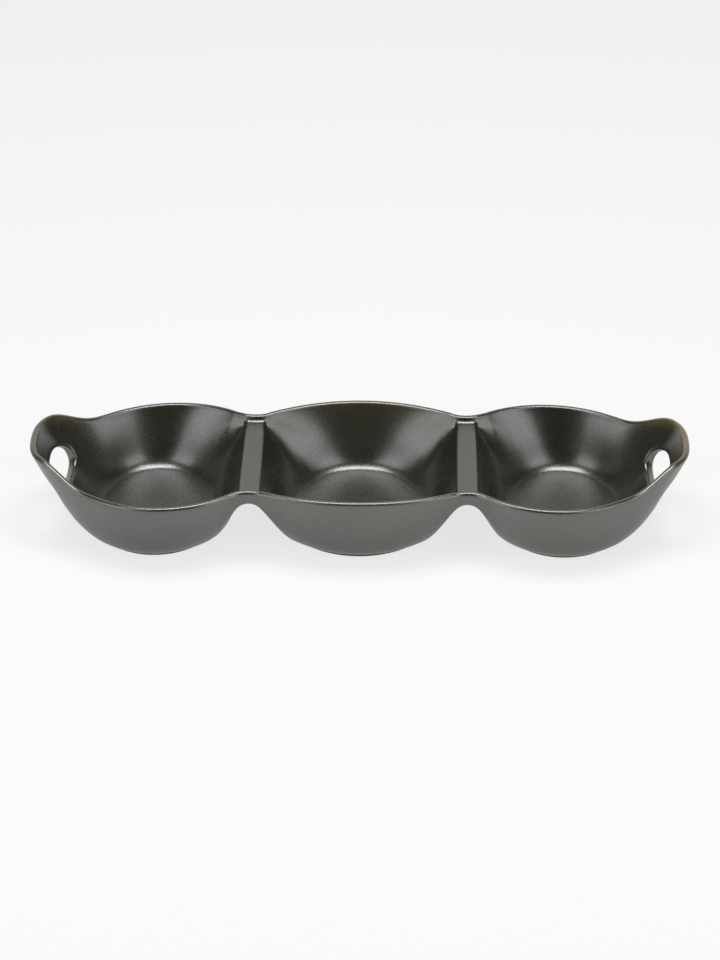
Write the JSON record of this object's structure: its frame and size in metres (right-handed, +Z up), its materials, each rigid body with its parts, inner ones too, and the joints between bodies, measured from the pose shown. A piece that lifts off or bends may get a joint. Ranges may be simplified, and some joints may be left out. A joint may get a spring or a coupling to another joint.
{
  "type": "divided serving bowl",
  "caption": "Long glazed stoneware serving dish: rounded compartments in a row, flat-topped dividers bridging open arches, raised ends pierced as handles, bare clay foot rings.",
  "frame": {"origin": "middle of the dish on the table, under the centre bowl", "axes": "+X along the row of compartments towards the right handle, +Y across the dish to its back, +Z up"},
  "size_m": [0.406, 0.136, 0.058],
  "materials": {
    "black_glaze": "satin black glaze, breaking to olive brown on raised edges",
    "bare_clay": "unglazed fired brown clay, matt"
  },
  "bodies": {
    "root": {"centre_bowl": "black_glaze", "left_bowl": "black_glaze", "right_bowl": "black_glaze", "left_divider": "black_glaze", "right_divider": "black_glaze", "left_handle": "black_glaze", "right_handle": "black_glaze", "centre_foot_ring": "bare_clay", "left_foot_ring": "bare_clay", "right_foot_ring": "bare_clay"}
  },
  "joints": []
}
